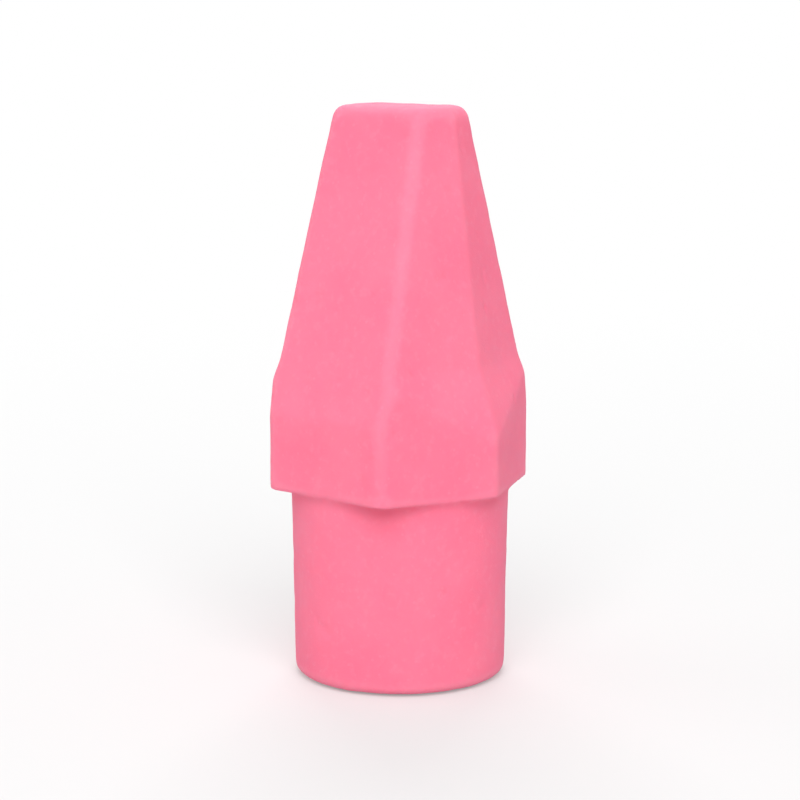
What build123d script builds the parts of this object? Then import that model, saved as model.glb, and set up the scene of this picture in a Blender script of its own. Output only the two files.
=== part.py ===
from build123d import *
import os
from math import atan2, cos, degrees, radians, tan

# Pencil cap eraser: one moulded rubber piece that pushes over the end of a pencil.
# A round collar carries a slightly wider six-sided head with two broad flats.
# The flats slope in, and four side facets taper gently, to a blunt chisel edge.
# The blind bore opens at the mouth rim.
#
# Frame: Z runs along the bore from the mouth rim (Z = 0) to the chisel tip.
# The chisel edge lies along X and the two flats face +Y and -Y.

# ---- Driving sizes, millimetres and degrees ----
overall_length = 25.6  # mouth rim to chisel tip
collar_length = 8.6  # mouth rim to the ledge under the head

pencil_bore = 7.2  # diameter of the bore that grips a pencil
bore_depth = 12.8
bore_end_radius = 0.9  # rounded corner where the bore wall meets its floor
rim_wall = 1.2  # rubber thickness at the mouth
rim_lead_in = 0.3  # chamfer that guides the pencil in
rim_edge_radius = 0.45  # rounded outside edge of the mouth
collar_draft = 0.9  # each side, opening towards the head so the mould releases

flat_overhang = 0.22  # how far each flat stands out past the collar
ridge_overhang = 0.75  # how far each side ridge stands out past the collar
flat_width = 6.7  # each flat, edge to edge along the chisel direction
band_height = 3.55  # upright part of the flats, above the ledge
side_band_height = 2.65  # upright part of the side ridges, above the ledge
bevel_height = 3.1  # steep part of the side facets, above their upright part
ridge_inset = 1.1  # how far the steep part brings each side ridge in
corner_inset = 0.15  # how far it brings in the facets' edges beside the flats

tip_width = 6.15  # chisel edge, across the side ridges
tip_thickness = 3.35  # chisel edge, flat to flat
edge_radius = 0.7  # softened edges of the head
ledge_edge_radius = 0.15  # softened lower edge of the head

# ---- Sizes that follow from them ----
bore_radius = pencil_bore / 2
mouth_radius = bore_radius + rim_wall
collar_radius = mouth_radius + collar_length * tan(radians(collar_draft))
flat_reach = collar_radius + flat_overhang
ridge_reach = collar_radius + ridge_overhang
waist_reach = ridge_reach - ridge_inset
waist_corner = flat_width / 2 - corner_inset
side_facet_angle = degrees(atan2(waist_reach - waist_corner, flat_reach))
band_top = collar_length + band_height
side_band_top = collar_length + side_band_height
bevel_top = side_band_top + bevel_height
facet_share = cos(radians(side_facet_angle))  # a facet's distance for its ridge's reach
outside = 4 * ridge_reach  # clear of the head on every side

# ---- Cap eraser ----
with BuildPart() as eraser_cap:
    # Six-sided head, full length to the tip.
    with BuildSketch(Plane.XY.offset(collar_length)):
        with BuildLine():
            Polyline((ridge_reach, 0), (flat_width / 2, flat_reach), (0, flat_reach))
            mirror(about=Plane.YZ)
            mirror(about=Plane.XZ)
        make_face()
    extrude(amount=overall_length - collar_length)

    # Two flats slope in from the top of the band to the chisel edge.
    with BuildSketch(Plane.YZ, Plane.YZ.rotated((0, 0, 180))):
        with BuildLine():
            Polyline(
                (flat_reach, band_top),
                (tip_thickness / 2, overall_length),
                (outside, overall_length),
                (outside, band_top),
                close=True,
            )
        make_face()
    extrude(amount=outside, both=True, mode=Mode.SUBTRACT)

    # Two facets on each side bevel the band steeply, then taper gently to the tip.
    turns = [side_facet_angle, -side_facet_angle, 180 - side_facet_angle, 180 + side_facet_angle]
    with BuildSketch(*[Plane.XZ.rotated((0, 0, turn)) for turn in turns]):
        with BuildLine():
            Polyline(
                (ridge_reach * facet_share, side_band_top),
                (waist_reach * facet_share, bevel_top),
                (tip_width / 2 * facet_share, overall_length),
                (outside, overall_length),
                (outside, side_band_top),
                close=True,
            )
        make_face()
    extrude(amount=outside, both=True, mode=Mode.SUBTRACT)

    # Soften every edge of the head; its lower rim stays crisper.
    upper_edges = eraser_cap.edges().filter_by_position(
        Axis.Z, collar_length, overall_length, inclusive=(False, True)
    )
    fillet(upper_edges, radius=edge_radius)
    fillet(eraser_cap.faces().sort_by(Axis.Z)[0].edges(), radius=ledge_edge_radius)

    # Round collar with draft, and its rounded mouth edge.
    with BuildSketch(Plane.XZ) as collar_outline:
        with BuildLine():
            Polyline(
                (0, 0),
                (mouth_radius, 0),
                (collar_radius, collar_length),
                (collar_radius, band_top),
                (0, band_top),
                close=True,
            )
        make_face()
        fillet(collar_outline.vertices().sort_by_distance((mouth_radius, 0))[0], rim_edge_radius)
    revolve(axis=Axis.Z)

    # Blind bore for the pencil, with a lead-in at the mouth.
    with BuildSketch(Plane.XY):
        Circle(bore_radius)
    extrude(amount=bore_depth, mode=Mode.SUBTRACT)
    bore_ends = eraser_cap.edges(Select.LAST).filter_by(GeomType.CIRCLE).sort_by(Axis.Z)
    fillet(bore_ends[-1], radius=bore_end_radius)
    chamfer(bore_ends[0], length=rim_lead_in)

eraser_cap.part.label = "eraser_cap"

os.makedirs("parts", exist_ok=True)
export_step(eraser_cap.part, "parts/eraser_cap.step")
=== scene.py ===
"""Looks of the pencil cap eraser: one moulded pink rubber cap with a six-sided chisel head."""

import logging
import math
from dataclasses import dataclass
from enum import Enum
from typing import Any

import bpy
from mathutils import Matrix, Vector

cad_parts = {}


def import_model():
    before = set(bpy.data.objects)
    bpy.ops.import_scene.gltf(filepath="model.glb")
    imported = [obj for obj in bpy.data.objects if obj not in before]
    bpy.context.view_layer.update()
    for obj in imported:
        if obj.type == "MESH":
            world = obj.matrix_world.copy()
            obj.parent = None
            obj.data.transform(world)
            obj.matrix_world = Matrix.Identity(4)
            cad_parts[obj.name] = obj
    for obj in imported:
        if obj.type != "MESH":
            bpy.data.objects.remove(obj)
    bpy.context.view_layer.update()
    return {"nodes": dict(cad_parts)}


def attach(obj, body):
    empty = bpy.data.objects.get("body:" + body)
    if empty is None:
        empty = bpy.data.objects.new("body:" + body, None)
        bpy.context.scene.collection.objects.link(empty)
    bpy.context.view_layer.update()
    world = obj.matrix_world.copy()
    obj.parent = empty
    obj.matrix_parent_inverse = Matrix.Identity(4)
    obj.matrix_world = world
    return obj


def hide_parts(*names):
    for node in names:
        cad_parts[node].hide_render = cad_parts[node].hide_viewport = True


MM = 0.001  # metres in a millimetre
BODY = "root"
CAP_NODE = "eraser_cap"
RUBBER_SLOT = "eraser_rubber"
# Mask of the skin for the paler rubbed edges with their painted highlight, and for the painted shade
# in inside corners.
EDGE_HIGHLIGHT_SHADE_MASK = "edge_highlight_shade_mask"  # attribute of the skin: high on outside edges, low in inside corners

Colour = tuple[float, float, float, float]  # red, green, blue and opacity
Place = tuple[float, float, float]  # along X, Y and Z, in metres

WHITE: Colour = (1.0, 1.0, 1.0, 1.0)
BLACK: Colour = (0.0, 0.0, 0.0, 1.0)
PLAIN_GLOW = 1.0  # strength at which a white surface or surround shows as plain white

# Sockets of a Mix node that mixes colours, which share their names with its other sockets.
MIX_SHARE, MIX_UNDER, MIX_OVER = 0, 6, 7
MIX_RESULT = 2

log = logging.getLogger("cap_eraser")


class NoiseKind(Enum):
    """How a relief texture's noise is shaped."""

    ROUNDED = "SOFT_NOISE"
    CREASED = "HARD_NOISE"


def select_only(piece: bpy.types.Object) -> None:
    """Makes one object the only selected and the active one.

    Args:
        piece: The object that the next operators act on.
    """
    bpy.ops.object.select_all(action="DESELECT")
    piece.select_set(True)
    bpy.context.view_layer.objects.active = piece


def aim(item: bpy.types.Object, target: Vector) -> None:
    """Turns a lamp or camera so that it looks at a point.

    Args:
        item: The lamp or camera, which looks along its own -Z.
        target: The point to look at, in metres.
    """
    item.rotation_euler = (target - item.location).to_track_quat("-Z", "Y").to_euler()


@dataclass(frozen=True)
class Relief:
    """One layer of real surface relief, pressed into the rubber from outside.

    Attributes:
        name: Name of the relief texture.
        grain: Size of the noise cells, in metres.
        depth: Deepest point of the relief, in metres.
        kind: Shape of the noise.
        low: Noise value at and below which the relief is deepest.
        high: Noise value at and above which the surface is untouched.
        octaves: How many finer octaves the noise has.
    """

    name: str
    grain: float
    depth: float
    kind: NoiseKind = NoiseKind.ROUNDED
    low: float = 0.0
    high: float = 1.0
    octaves: int = 2

    def texture(self) -> bpy.types.Texture:
        """Makes the noise texture that drives the relief.

        Returns:
            A cloud texture whose ramp runs from black, deepest, to white, untouched.
        """
        clouds = bpy.data.textures.new(self.name, type="CLOUDS")
        clouds.noise_scale = self.grain
        clouds.noise_type = self.kind.value
        clouds.noise_depth = self.octaves
        clouds.use_color_ramp = True
        deepest, untouched = clouds.color_ramp.elements
        deepest.position = self.low
        deepest.color = BLACK
        untouched.position = self.high
        untouched.color = WHITE
        return clouds

    def press_into(self, piece: bpy.types.Object) -> None:
        """Presses the relief into a piece, inwards only.

        Args:
            piece: The active object with a fine, even mesh.
        """
        press = piece.modifiers.new(self.name, "DISPLACE")
        press.texture = self.texture()
        press.texture_coords = "LOCAL"
        press.direction = "NORMAL"
        press.mid_level = 1.0  # white stays where it is, so nothing is pushed outwards
        press.strength = self.depth
        bpy.ops.object.modifier_apply(modifier=press.name)


@dataclass(frozen=True)
class Grain:
    """A noise pattern of a real size.

    Attributes:
        size: Size of its cells, in metres.
        detail: How many finer octaves it has.
    """

    size: float
    detail: float


@dataclass(frozen=True)
class Tint:
    """How a pattern's value becomes a share of another colour.

    Attributes:
        bare: Pattern value at which none of the colour shows.
        full: Pattern value at which its whole share shows.
        share: Largest share of the colour, 0 to 1.
    """

    bare: float
    full: float
    share: float


class Shader:
    """A node material under construction."""

    def __init__(self, name: str) -> None:
        """Starts an empty node material.

        Args:
            name: Name of the material.
        """
        self.material = bpy.data.materials.new(name)
        self.material.use_nodes = True
        self.tree = self.material.node_tree
        self.tree.nodes.clear()

    def node(self, kind: str, inputs: dict[Any, Any] | None = None, **options: Any) -> bpy.types.Node:
        """Adds a node, sets its options, and sets or links its inputs.

        Args:
            kind: Blender's name of the node type.
            inputs: Values for input sockets, by name or number. An output socket is linked.
            options: Properties of the node itself.

        Returns:
            The new node.
        """
        made = self.tree.nodes.new(kind)
        for key, value in options.items():
            setattr(made, key, value)
        for key, value in (inputs or {}).items():
            socket = made.inputs[key]
            if isinstance(value, bpy.types.NodeSocket):
                self.tree.links.new(value, socket)
            else:
                socket.default_value = value
        return made

    def noise(self, place: bpy.types.NodeSocket, grain: Grain) -> bpy.types.NodeSocket:
        """Adds a noise pattern of a real size.

        Args:
            place: Coordinates in metres.
            grain: Size and detail of the pattern.

        Returns:
            The noise value, about 0.5 on average.
        """
        pattern = self.node(
            "ShaderNodeTexNoise",
            {"Vector": place, "Scale": 1.0 / grain.size, "Detail": grain.detail},
        )
        return pattern.outputs["Fac"]

    def ramp(
        self,
        value: bpy.types.NodeSocket,
        low: float,
        high: float,
        bottom: float = 0.0,
        top: float = 1.0,
    ) -> bpy.types.NodeSocket:
        """Turns a value's range into another one, smoothly.

        Args:
            value: The value to turn.
            low: Value that becomes the bottom.
            high: Value that becomes the top.
            bottom: Result at and beyond the low value.
            top: Result at and beyond the high value.

        Returns:
            The turned value.
        """
        turned = self.node(
            "ShaderNodeMapRange",
            {"Value": value, "From Min": low, "From Max": high, "To Min": bottom, "To Max": top},
            interpolation_type="SMOOTHSTEP",
        )
        return turned.outputs["Result"]

    def blend(self, share: bpy.types.NodeSocket, under: Any, over: Any) -> bpy.types.NodeSocket:
        """Mixes two colours.

        Args:
            share: How much of the second colour shows.
            under: Colour or colour socket at a share of 0.
            over: Colour or colour socket at a share of 1.

        Returns:
            The mixed colour.
        """
        inputs = {MIX_SHARE: share, MIX_UNDER: under, MIX_OVER: over}
        return self.node("ShaderNodeMix", inputs, data_type="RGBA").outputs[MIX_RESULT]

    def tint(
        self,
        colour: Any,
        pattern: bpy.types.NodeSocket,
        rule: Tint,
        over: Colour,
    ) -> bpy.types.NodeSocket:
        """Mixes a second colour into the first where a pattern says so.

        Args:
            colour: Colour or colour socket that is tinted.
            pattern: The pattern's value.
            rule: Where and how much of the second colour shows.
            over: The second colour.

        Returns:
            The tinted colour.
        """
        share = self.ramp(pattern, rule.bare, rule.full, top=rule.share)
        return self.blend(share, colour, over)

    def close(self, surface: bpy.types.NodeSocket) -> bpy.types.Material:
        """Connects the finished surface and returns the material.

        Args:
            surface: The shader to show.

        Returns:
            The finished material.
        """
        self.node("ShaderNodeOutputMaterial", {"Surface": surface})
        return self.material


@dataclass(frozen=True)
class MouldedRubber:
    """Matte pink eraser rubber with a powdery skin.

    Attributes:
        pink: Main colour.
        deep: Colour of the slightly darker clouds in the mix, and of the painted shade in inside
            corners.
        pale: Colour of powder, specks and rubbed edges; on the edges it is partly a painted
            highlight.
        clouds: Pattern of the colour clouds.
        cloud_shift: Which part of the endless cloud pattern the cap shows, in metres.
        cloud_tint: How the clouds show.
        powder: Pattern of the powder on the skin.
        powder_tint: How the powder shows.
        speck_spacing: Spacing of the pale specks, in metres.
        speck_tint: How the specks show, by the distance from their middles.
        patches: Pattern that makes the rubbed edges with their painted highlight, and the painted
            shade in inside corners, uneven.
        unevenness: How much that pattern adds to the edge and corner mask.
        rubbed_highlight_tint: How rubbed outside edges show: paler from rubbing, and partly a painted
            highlight.
        painted_corner_shade_tint: How the painted shade in inside corners shows.
        fine_grain: Pattern of the finest surface grain.
        grain_height: Height of that grain, in metres.
        grain_strength: How much of that height the light sees, 0 to 1.
        roughness: Roughness without powder and under full powder.
        gloss: Specular level of the matte surface.
        light_soak: Share of the light that spreads inside the rubber.
        light_spread: How far red, green and blue light spread inside, in metres.
    """

    pink: Colour = (0.970, 0.208, 0.320, 1.0)
    deep: Colour = (0.957, 0.188, 0.301, 1.0)
    pale: Colour = (0.980, 0.280, 0.390, 1.0)
    clouds: Grain = Grain(size=3.4 * MM, detail=3.0)
    cloud_shift: Place = (76.0 * MM, 188.0 * MM, -142.0 * MM)
    cloud_tint: Tint = Tint(bare=0.35, full=0.70, share=1.0)
    powder: Grain = Grain(size=0.35 * MM, detail=4.0)
    powder_tint: Tint = Tint(bare=0.48, full=0.78, share=0.32)
    speck_spacing: float = 0.55 * MM
    speck_tint: Tint = Tint(bare=0.16, full=0.08, share=0.22)
    patches: Grain = Grain(size=0.8 * MM, detail=4.0)
    unevenness: float = 0.14
    # Paler rubbed edges, partly a painted highlight.
    rubbed_highlight_tint: Tint = Tint(bare=0.52, full=0.70, share=0.32)
    # Painted shade: the deep colour in inside corners, such as under the ledge.
    painted_corner_shade_tint: Tint = Tint(bare=0.40, full=0.18, share=0.50)
    fine_grain: Grain = Grain(size=0.09 * MM, detail=3.0)
    grain_height: float = 0.018 * MM
    grain_strength: float = 0.6
    roughness: tuple[float, float] = (0.72, 0.88)
    gloss: float = 0.22
    light_soak: float = 0.45
    light_spread: tuple[float, float, float] = (1.0 * MM, 0.25 * MM, 0.32 * MM)

    def material(self) -> bpy.types.Material:
        """Builds the rubber's node material.

        Returns:
            The material, which reads Object coordinates and the skin's edge attribute.
        """
        shader = Shader(RUBBER_SLOT)
        place = shader.node("ShaderNodeTexCoord").outputs["Object"]
        powder = shader.noise(place, self.powder)
        rough = shader.ramp(powder, self.powder_tint.bare, self.powder_tint.full, *self.roughness)
        bump = shader.node(
            "ShaderNodeBump",
            {
                "Height": shader.noise(place, self.fine_grain),
                "Strength": self.grain_strength,
                "Distance": self.grain_height,
            },
        )
        rubber = shader.node(
            "ShaderNodeBsdfPrincipled",
            {
                "Base Color": self.colour(shader, place, powder),
                "Roughness": rough,
                "Normal": bump.outputs["Normal"],
                "Specular IOR Level": self.gloss,
                "Subsurface Weight": self.light_soak,
                "Subsurface Radius": self.light_spread,
                "Subsurface Scale": 1.0,  # the radii are real sizes already
            },
        )
        return shader.close(rubber.outputs["BSDF"])

    def colour(
        self,
        shader: Shader,
        place: bpy.types.NodeSocket,
        powder: bpy.types.NodeSocket,
    ) -> bpy.types.NodeSocket:
        """Mixes the rubber's colour: clouds, powder, specks, rubbed edges with a painted highlight,
        and painted shade in inside corners.

        Args:
            shader: The material that the colour belongs to.
            place: Coordinates in metres.
            powder: The powder pattern's value.

        Returns:
            The colour.
        """
        drift = shader.node("ShaderNodeMapping", {"Vector": place, "Location": self.cloud_shift})
        clouds = shader.noise(drift.outputs["Vector"], self.clouds)
        specks = shader.node(
            "ShaderNodeTexVoronoi",
            {"Vector": place, "Scale": 1.0 / self.speck_spacing},
        )
        edges = shader.node("ShaderNodeAttribute", attribute_name=EDGE_HIGHLIGHT_SHADE_MASK)
        patches = shader.noise(place, self.patches)
        # Edge and corner value: high values drive the paler edges with their painted highlight, low
        # values the painted shade in corners.
        wear_highlight_shade = shader.node(
            "ShaderNodeMath",
            {0: patches, 1: self.unevenness, 2: edges.outputs["Fac"]},
            operation="MULTIPLY_ADD",
        )

        colour = shader.tint(self.pink, clouds, self.cloud_tint, self.deep)
        colour = shader.tint(colour, powder, self.powder_tint, self.pale)
        colour = shader.tint(colour, specks.outputs["Distance"], self.speck_tint, self.pale)
        # Paler rubbed edges: partly worn rubber, partly a painted highlight along the outside edges.
        colour = shader.tint(colour, wear_highlight_shade.outputs["Value"], self.rubbed_highlight_tint, self.pale)
        # Painted shade: the deep colour darkens inside corners, such as under the ledge.
        return shader.tint(colour, wear_highlight_shade.outputs["Value"], self.painted_corner_shade_tint, self.deep)


@dataclass(frozen=True)
class PaleFloor:
    """Plain pale studio floor that runs out to white.

    Attributes:
        paint: Colour of the floor as it is seen.
        bounce: Colour of the light that it throws back up, kept below the paint so that
            faces turned upwards stay brighter than upright ones.
        glow: Share of plain white in the floor next to the object.
        near: Distance from the object at which it starts to run out to white, in metres.
        far: Distance at which it is white, in metres.
        roughness: Roughness of the paint.
    """

    paint: Colour = (0.72, 0.72, 0.72, 1.0)
    bounce: Colour = (0.62, 0.62, 0.62, 1.0)
    glow: float = 0.3
    near: float = 20.0 * MM
    far: float = 140.0 * MM
    roughness: float = 0.9

    def material(self) -> bpy.types.Material:
        """Builds the floor's material.

        Returns:
            Paint near the object, white further out for the camera and in reflections.
        """
        shader = Shader("studio_floor")
        place = shader.node("ShaderNodeTexCoord").outputs["Object"]
        reach = shader.node("ShaderNodeVectorMath", {0: place}, operation="LENGTH")
        whiteness = shader.ramp(reach.outputs["Value"], self.near, self.far, bottom=self.glow)
        path = shader.node("ShaderNodeLightPath")
        seen = shader.node(
            "ShaderNodeMath",
            {0: path.outputs["Is Camera Ray"], 1: path.outputs["Is Glossy Ray"]},
            operation="MAXIMUM",
        )
        white_share = shader.node(
            "ShaderNodeMath",
            {0: whiteness, 1: seen.outputs["Value"]},
            operation="MULTIPLY",
        )
        colour = shader.blend(seen.outputs["Value"], self.bounce, self.paint)
        paint = shader.node(
            "ShaderNodeBsdfPrincipled",
            {"Base Color": colour, "Roughness": self.roughness},
        )
        white = shader.node("ShaderNodeEmission", {"Color": WHITE, "Strength": PLAIN_GLOW})
        surface = shader.node(
            "ShaderNodeMixShader",
            {0: white_share.outputs["Value"], 1: paint.outputs["BSDF"], 2: white.outputs["Emission"]},
        )
        return shader.close(surface.outputs["Shader"])


@dataclass
class CapEraser:
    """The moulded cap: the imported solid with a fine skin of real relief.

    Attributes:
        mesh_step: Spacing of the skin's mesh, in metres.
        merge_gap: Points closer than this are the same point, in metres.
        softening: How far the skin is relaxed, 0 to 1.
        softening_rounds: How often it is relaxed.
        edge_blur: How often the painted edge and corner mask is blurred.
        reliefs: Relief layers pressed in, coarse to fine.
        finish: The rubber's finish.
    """

    mesh_step: float = 0.14 * MM
    merge_gap: float = 0.002 * MM
    softening: float = 0.5
    softening_rounds: int = 3
    edge_blur: int = 8
    reliefs: tuple[Relief, ...] = (
        Relief("sunken_faces", grain=3.6 * MM, depth=0.05 * MM),
        Relief("flow_creases", grain=2.2 * MM, depth=0.03 * MM, kind=NoiseKind.CREASED),
        Relief("mould_skin", grain=0.9 * MM, depth=0.02 * MM),
        Relief("pits", grain=0.7 * MM, depth=0.06 * MM, low=0.14, high=0.30),
    )
    finish: MouldedRubber = MouldedRubber()

    def build(self, solid: bpy.types.Object) -> bpy.types.Object:
        """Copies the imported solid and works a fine, relieved skin from it.

        Args:
            solid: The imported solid, which is left as it is.

        Returns:
            The finished skin, riding with the object in the solid's place.
        """
        select_only(solid)
        bpy.ops.object.duplicate()
        skin = bpy.context.active_object
        skin.name = "cap_skin"
        for key in list(skin.keys()):  # the solid's own marks, which a new piece doesn't have
            del skin[key]

        self.weld()
        self.even_out(skin)
        self.mark_edges()
        for relief in self.reliefs:
            relief.press_into(skin)
        bpy.ops.object.shade_smooth()

        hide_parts(solid.name)
        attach(skin, BODY)
        return skin

    def weld(self) -> None:
        """Joins the active copy's loose triangles into one closed shell that faces outwards."""
        bpy.ops.object.mode_set(mode="EDIT")
        bpy.ops.mesh.select_all(action="SELECT")
        bpy.ops.mesh.remove_doubles(threshold=self.merge_gap)
        bpy.ops.mesh.normals_make_consistent(inside=False)
        bpy.ops.object.mode_set(mode="OBJECT")

    def even_out(self, skin: bpy.types.Object) -> None:
        """Gives the skin a fine, even mesh and softens its edges a little.

        Args:
            skin: The welded skin, which is the active object.
        """
        remesh = skin.modifiers.new("even_mesh", "REMESH")
        remesh.mode = "VOXEL"
        remesh.voxel_size = self.mesh_step
        bpy.ops.object.modifier_apply(modifier=remesh.name)
        relax = skin.modifiers.new("softened", "SMOOTH")
        relax.factor = self.softening
        relax.iterations = self.softening_rounds
        bpy.ops.object.modifier_apply(modifier=relax.name)

    def mark_edges(self) -> None:
        """Paints the active skin by its shape: high on outside edges, low in inside corners."""
        # The mask drives the paler rubbed edges with their painted highlight and the painted shade in
        # inside corners.
        bpy.ops.geometry.color_attribute_add(name=EDGE_HIGHLIGHT_SHADE_MASK, domain="CORNER", color=WHITE)
        # The widest span of angles, so that the paint grades evenly from corner to edge.
        bpy.ops.paint.vertex_color_dirt(
            blur_strength=1.0,
            blur_iterations=self.edge_blur,
            clean_angle=math.pi,
            dirt_angle=0.0,
        )

    def dress(self, skin: bpy.types.Object) -> None:
        """Gives the skin its rubber finish.

        Args:
            skin: The finished skin.
        """
        skin.data.materials.clear()
        skin.data.materials.append(self.finish.material())


@dataclass(frozen=True)
class Softbox:
    """One square studio softbox.

    Attributes:
        name: Name of the lamp.
        place: Its place, in metres.
        width: Side of its square face, in metres.
        power: Its power, in watts.
    """

    name: str
    place: Place
    width: float
    power: float

    def hang(self, target: Vector) -> None:
        """Adds the lamp and aims it.

        Args:
            target: The point that it lights, in metres.
        """
        bpy.ops.object.light_add(type="AREA", location=self.place)
        lamp = bpy.context.active_object
        lamp.name = self.name
        lamp.data.shape = "SQUARE"
        lamp.data.size = self.width
        lamp.data.energy = self.power
        aim(lamp, target)


@dataclass
class Studio:
    """Floor, soft light and camera.

    Attributes:
        floor_width: Side of the square floor, in metres.
        floor_gap: How far the floor lies below the rim, in metres.
        softboxes: The lamps.
        ambient: Strength of the even white surround as a light.
        camera_reach: Level distance from the bore's axis to the camera, in metres.
        camera_height: Height of the camera above the floor, in metres.
        camera_turn: Direction of the camera, degrees from +X.
        aim_height: Height that the lamps and the camera look at, in metres.
        lens: Focal length, in millimetres.
        view_range: Nearest and farthest distance that the camera sees, in metres.
    """

    floor_width: float = 3.0
    floor_gap: float = 0.02 * MM
    softboxes: tuple[Softbox, ...] = (
        Softbox("key_softbox", place=(0.45, -0.496, 0.66), width=0.72, power=7.65),
        Softbox("side_softbox", place=(-0.30, -0.20, 0.20), width=0.24, power=0.13),
        Softbox("back_softbox", place=(-0.25, 0.27, 0.33), width=0.30, power=0.95),
    )
    ambient: float = 0.54
    camera_reach: float = 102.0 * MM
    camera_height: float = 30.0 * MM
    camera_turn: float = -49.0
    aim_height: float = 12.4 * MM
    lens: float = 104.0
    view_range: tuple[float, float] = (1.0 * MM, 10.0)

    def build(self) -> None:
        """Sets up the floor, the surround, the lamps and the camera."""
        self.lay_floor()
        self.light_surround()
        target = Vector((0.0, 0.0, self.aim_height))
        for softbox in self.softboxes:
            softbox.hang(target)
        self.place_camera(target)
        bpy.context.scene.view_settings.view_transform = "Standard"

    def lay_floor(self) -> None:
        """Lays the plain floor that the cap stands on."""
        bpy.ops.object.select_all(action="DESELECT")
        bpy.ops.mesh.primitive_plane_add(size=self.floor_width, location=(0.0, 0.0, -self.floor_gap))
        floor = bpy.context.active_object
        floor.name = "studio_floor"
        floor.data.materials.append(PaleFloor().material())

    def light_surround(self) -> None:
        """Makes the surround white to the camera and softly lit on the object."""
        world = bpy.data.worlds.new("surround")
        world.use_nodes = True
        bpy.context.scene.world = world
        nodes, links = world.node_tree.nodes, world.node_tree.links
        path = nodes.new("ShaderNodeLightPath")
        strength = nodes.new("ShaderNodeMapRange")
        strength.inputs["To Min"].default_value = self.ambient
        strength.inputs["To Max"].default_value = PLAIN_GLOW
        links.new(path.outputs["Is Camera Ray"], strength.inputs["Value"])
        surround = nodes["Background"]
        surround.inputs["Color"].default_value = WHITE
        links.new(strength.outputs["Result"], surround.inputs["Strength"])

    def place_camera(self, target: Vector) -> None:
        """Adds the camera and aims it.

        Args:
            target: The point at the middle of the picture, in metres.
        """
        turn = math.radians(self.camera_turn)
        place = (
            self.camera_reach * math.cos(turn),
            self.camera_reach * math.sin(turn),
            self.camera_height,
        )
        bpy.ops.object.camera_add(location=place)
        camera = bpy.context.active_object
        camera.name = "studio_camera"
        camera.data.lens = self.lens
        camera.data.clip_start, camera.data.clip_end = self.view_range
        aim(camera, target)
        bpy.context.scene.camera = camera


def main() -> None:
    """Builds the cap and its studio."""
    logging.basicConfig(level=logging.INFO, format="%(name)s: %(message)s")
    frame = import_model()

    cap = CapEraser()
    skin = cap.build(frame["nodes"][CAP_NODE])
    cap.dress(skin)
    log.info("%s has %d faces", skin.name, len(skin.data.polygons))

    Studio().build()
    log.info("studio is set")


if __name__ == "__main__":
    main()
